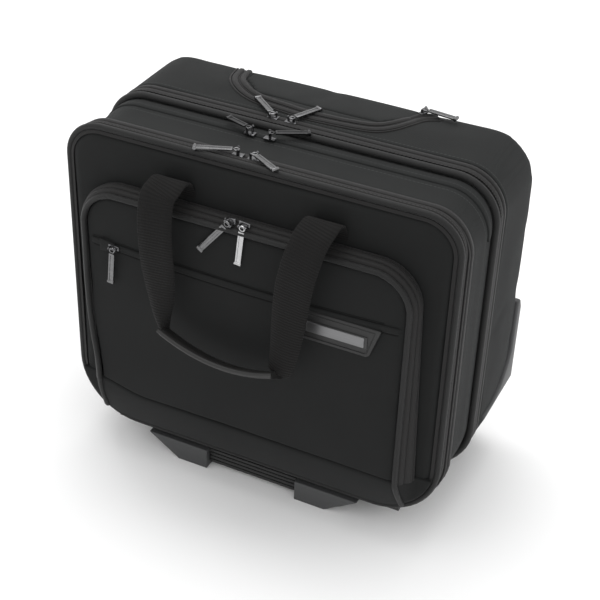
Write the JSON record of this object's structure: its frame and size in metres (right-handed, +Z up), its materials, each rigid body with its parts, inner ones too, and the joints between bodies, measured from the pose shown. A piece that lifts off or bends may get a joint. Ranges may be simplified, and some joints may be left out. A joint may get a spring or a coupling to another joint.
{
  "type": "rolling pilot case",
  "caption": "Soft-sided wheeled business case with a zipped front section, padded middle, deep rear compartment, carry handles and a telescopic pull handle under a zipped flap.",
  "frame": {"origin": "on the floor under the middle of the bounding box", "axes": "+Z up, the front panel faces -Y, +X to the right when facing the front panel"},
  "size_m": [0.435, 0.2746, 0.3974],
  "materials": {
    "body_fabric": "matte tight-woven nylon",
    "zip_tape": "satin ribbed zip tape",
    "piping": "smooth satin cord cover",
    "lining": "plain lining",
    "guard_plastic": "fine grained moulded plastic",
    "rubber": "matte ribbed rubber",
    "tyre": "matte wheel rubber",
    "tube_metal": "satin anodised",
    "grip_plastic": "soft-touch moulded plastic",
    "button_metal": "brushed",
    "patch": "smooth leather-look patch",
    "plate": "dark brushed plate",
    "webbing": "ribbed webbing",
    "grip_wrap": "smooth wrapped leather-look",
    "slider_metal": "dark gunmetal",
    "puller_metal": "polished gunmetal"
  },
  "bodies": {
    "case": {"rear_shell": "body_fabric", "rear_zip_tape": "zip_tape", "flap_zip_tape": "zip_tape", "base_plate": "guard_plastic", "front_feet": "guard_plastic", "grab_bar": "rubber", "wheel_housings": "guard_plastic", "wheel_axles": "tube_metal", "base_screws": "tube_metal", "handle_outer_tubes": "tube_metal", "handle_bezel": "guard_plastic", "handle_bracket": "guard_plastic"},
    "wheel_left": {"tyre_left": "tyre", "hub_left": "guard_plastic"},
    "wheel_right": {"tyre_right": "tyre", "hub_right": "guard_plastic"},
    "handle_middle": {"handle_middle_tubes": "tube_metal"},
    "pull_handle": {"handle_inner_tubes": "tube_metal", "pull_grip": "grip_plastic"},
    "release_button": {"release_button": "button_metal"},
    "handle_flap": {"handle_flap": "body_fabric"},
    "middle_section": {"middle_shell": "body_fabric", "laptop_divider": "lining", "front_zip_tape": "zip_tape", "middle_zip_tape": "zip_tape", "rear_piping": "piping"},
    "front_lid": {"front_shell": "body_fabric", "front_piping": "piping", "pocket_shell": "body_fabric", "pocket_piping": "piping", "pocket_zip_tape": "zip_tape", "kick_panel": "body_fabric", "slot_zip_tape": "zip_tape", "badge_patch": "patch", "nameplate": "plate", "strap_anchors": "webbing"},
    "front_handle": {"front_straps": "webbing", "front_grip": "grip_wrap"},
    "rear_handle": {"rear_straps": "webbing", "rear_grip": "grip_wrap"},
    "front_slider_left": {"front_slider_left": "slider_metal"},
    "front_puller_left": {"front_puller_left": "puller_metal"},
    "front_slider_right": {"front_slider_right": "slider_metal"},
    "front_puller_right": {"front_puller_right": "puller_metal"},
    "middle_slider_left": {"middle_slider_left": "slider_metal"},
    "middle_puller_left": {"middle_puller_left": "puller_metal"},
    "middle_slider_right": {"middle_slider_right": "slider_metal"},
    "middle_puller_right": {"middle_puller_right": "puller_metal"},
    "rear_slider_left": {"rear_slider_left": "slider_metal"},
    "rear_puller_left": {"rear_puller_left": "puller_metal"},
    "rear_slider_right": {"rear_slider_right": "slider_metal"},
    "rear_puller_right": {"rear_puller_right": "puller_metal"},
    "pocket_slider_left": {"pocket_slider_left": "slider_metal"},
    "pocket_puller_left": {"pocket_puller_left": "puller_metal"},
    "pocket_slider_right": {"pocket_slider_right": "slider_metal"},
    "pocket_puller_right": {"pocket_puller_right": "puller_metal"},
    "slot_slider": {"slot_slider": "slider_metal"},
    "slot_puller": {"slot_puller": "puller_metal"},
    "flap_slider": {"flap_slider": "slider_metal"},
    "flap_puller": {"flap_puller": "puller_metal"}
  },
  "joints": [
    {"name": "wheel_left_spin", "type": "hinge", "parent": "case", "child": "wheel_left", "pos_m": [-0.174, 0.1003, 0.032], "axis": [1, 0, 0], "continuous": true},
    {"name": "wheel_right_spin", "type": "hinge", "parent": "case", "child": "wheel_right", "pos_m": [0.174, 0.1003, 0.032], "axis": [1, 0, 0], "continuous": true},
    {"name": "handle_extend", "type": "slide", "parent": "case", "child": "handle_middle", "axis": [0, 0, 1], "range_m": [0, 0.27]},
    {"name": "grip_extend", "type": "slide", "parent": "handle_middle", "child": "pull_handle", "axis": [0, 0, 1], "range_m": [0, 0.27]},
    {"name": "release_button_press", "type": "slide", "parent": "pull_handle", "child": "release_button", "axis": [0, 0, -1], "range_m": [0, 0.003], "stiffness_N_per_m": 400, "springref_m": -0.001},
    {"name": "flap_open", "type": "hinge", "parent": "case", "child": "handle_flap", "pos_m": [0, 0.1138, 0.3894], "axis": [-1, 0, 0], "range_deg": [0, 110], "deforming": ["handle_flap"]},
    {"name": "main_open", "type": "hinge", "parent": "case", "child": "middle_section", "pos_m": [0, -0.0757, 0.0324], "axis": [1, 0, 0], "range_deg": [0, 25]},
    {"name": "front_lid_open", "type": "hinge", "parent": "middle_section", "child": "front_lid", "pos_m": [0, -0.0757, 0.0324], "axis": [1, 0, 0], "range_deg": [0, 55]},
    {"name": "front_handle_swing", "type": "hinge", "parent": "front_lid", "child": "front_handle", "pos_m": [0, -0.0977, 0.3616], "axis": [-1, 0, 0], "range_deg": [0, 150]},
    {"name": "rear_handle_swing", "type": "hinge", "parent": "case", "child": "rear_handle", "pos_m": [0, 0.1257, 0.3524], "axis": [1, 0, 0], "range_deg": [0, 165]},
    {"name": "front_zip_left_slide", "type": "slide", "parent": "middle_section", "child": "front_slider_left", "axis": [-1, 0, 0], "range_m": [0, 0.11]},
    {"name": "front_puller_left_lift", "type": "hinge", "parent": "front_slider_left", "child": "front_puller_left", "pos_m": [-0.027, -0.0547, 0.3936], "axis": [-0.3746, 0.9272, 0], "range_deg": [0, 100]},
    {"name": "front_zip_right_slide", "type": "slide", "parent": "middle_section", "child": "front_slider_right", "axis": [1, 0, 0], "range_m": [0, 0.15]},
    {"name": "front_puller_right_lift", "type": "hinge", "parent": "front_slider_right", "child": "front_puller_right", "pos_m": [-0.01, -0.0547, 0.3936], "axis": [-0.5, -0.866, 0], "range_deg": [0, 100]},
    {"name": "middle_zip_left_slide", "type": "slide", "parent": "middle_section", "child": "middle_slider_left", "axis": [-1, 0, 0], "range_m": [0, 0.1]},
    {"name": "middle_puller_left_lift", "type": "hinge", "parent": "middle_slider_left", "child": "middle_puller_left", "pos_m": [-0.04, -0.0057, 0.3912], "axis": [0.309, 0.9511, 0], "range_deg": [0, 100]},
    {"name": "middle_zip_right_slide", "type": "slide", "parent": "middle_section", "child": "middle_slider_right", "axis": [1, 0, 0], "range_m": [0, 0.14]},
    {"name": "middle_puller_right_lift", "type": "hinge", "parent": "middle_slider_right", "child": "middle_puller_right", "pos_m": [-0.018, -0.0057, 0.3912], "axis": [0.4848, -0.8746, 0], "range_deg": [0, 100]},
    {"name": "rear_zip_left_slide", "type": "slide", "parent": "case", "child": "rear_slider_left", "axis": [-1, 0, 0], "range_m": [0, 0.1]},
    {"name": "rear_puller_left_lift", "type": "hinge", "parent": "rear_slider_left", "child": "rear_puller_left", "pos_m": [-0.033, 0.0303, 0.3922], "axis": [0.6428, 0.766, 0], "range_deg": [0, 100]},
    {"name": "rear_zip_right_slide", "type": "slide", "parent": "case", "child": "rear_slider_right", "axis": [1, 0, 0], "range_m": [0, 0.14]},
    {"name": "rear_puller_right_lift", "type": "hinge", "parent": "rear_slider_right", "child": "rear_puller_right", "pos_m": [-0.013, 0.0303, 0.3922], "axis": [0.9063, -0.4226, 0], "range_deg": [0, 100]},
    {"name": "pocket_zip_left_slide", "type": "slide", "parent": "front_lid", "child": "pocket_slider_left", "axis": [-1, 0, 0], "range_m": [0, 0.11]},
    {"name": "pocket_puller_left_lift", "type": "hinge", "parent": "pocket_slider_left", "child": "pocket_puller_left", "pos_m": [-0.015, -0.0977, 0.338], "axis": [-0.7771, 0, 0.6293], "range_deg": [0, 100]},
    {"name": "pocket_zip_right_slide", "type": "slide", "parent": "front_lid", "child": "pocket_slider_right", "axis": [1, 0, 0], "range_m": [0, 0.12]},
    {"name": "pocket_puller_right_lift", "type": "hinge", "parent": "pocket_slider_right", "child": "pocket_puller_right", "pos_m": [0.0005, -0.0977, 0.338], "axis": [-0.9945, 0, 0.1045], "range_deg": [0, 100]},
    {"name": "slot_zip_slide", "type": "slide", "parent": "front_lid", "child": "slot_slider", "axis": [1, 0, 0], "range_m": [0, 0.27]},
    {"name": "slot_puller_lift", "type": "hinge", "parent": "slot_slider", "child": "slot_puller", "pos_m": [-0.143, -0.1022, 0.273], "axis": [-0.9962, 0, 0.0872], "range_deg": [0, 100]},
    {"name": "flap_zip_slide", "type": "slide", "parent": "case", "child": "flap_slider", "axis": [-0.2561, -0.9667, 0], "range_m": [0, 0.034]},
    {"name": "flap_puller_lift", "type": "hinge", "parent": "flap_slider", "child": "flap_puller", "pos_m": [0.097, 0.1083, 0.3954], "axis": [-0.1219, -0.9925, 0], "range_deg": [0, 100]}
  ],
  "couplings": [
    {"joint": "grip_extend", "follows": "handle_extend", "ratio": 1},
    {"joint": "flap_open", "follows": "handle_extend", "rad_per_m": 7.1}
  ]
}
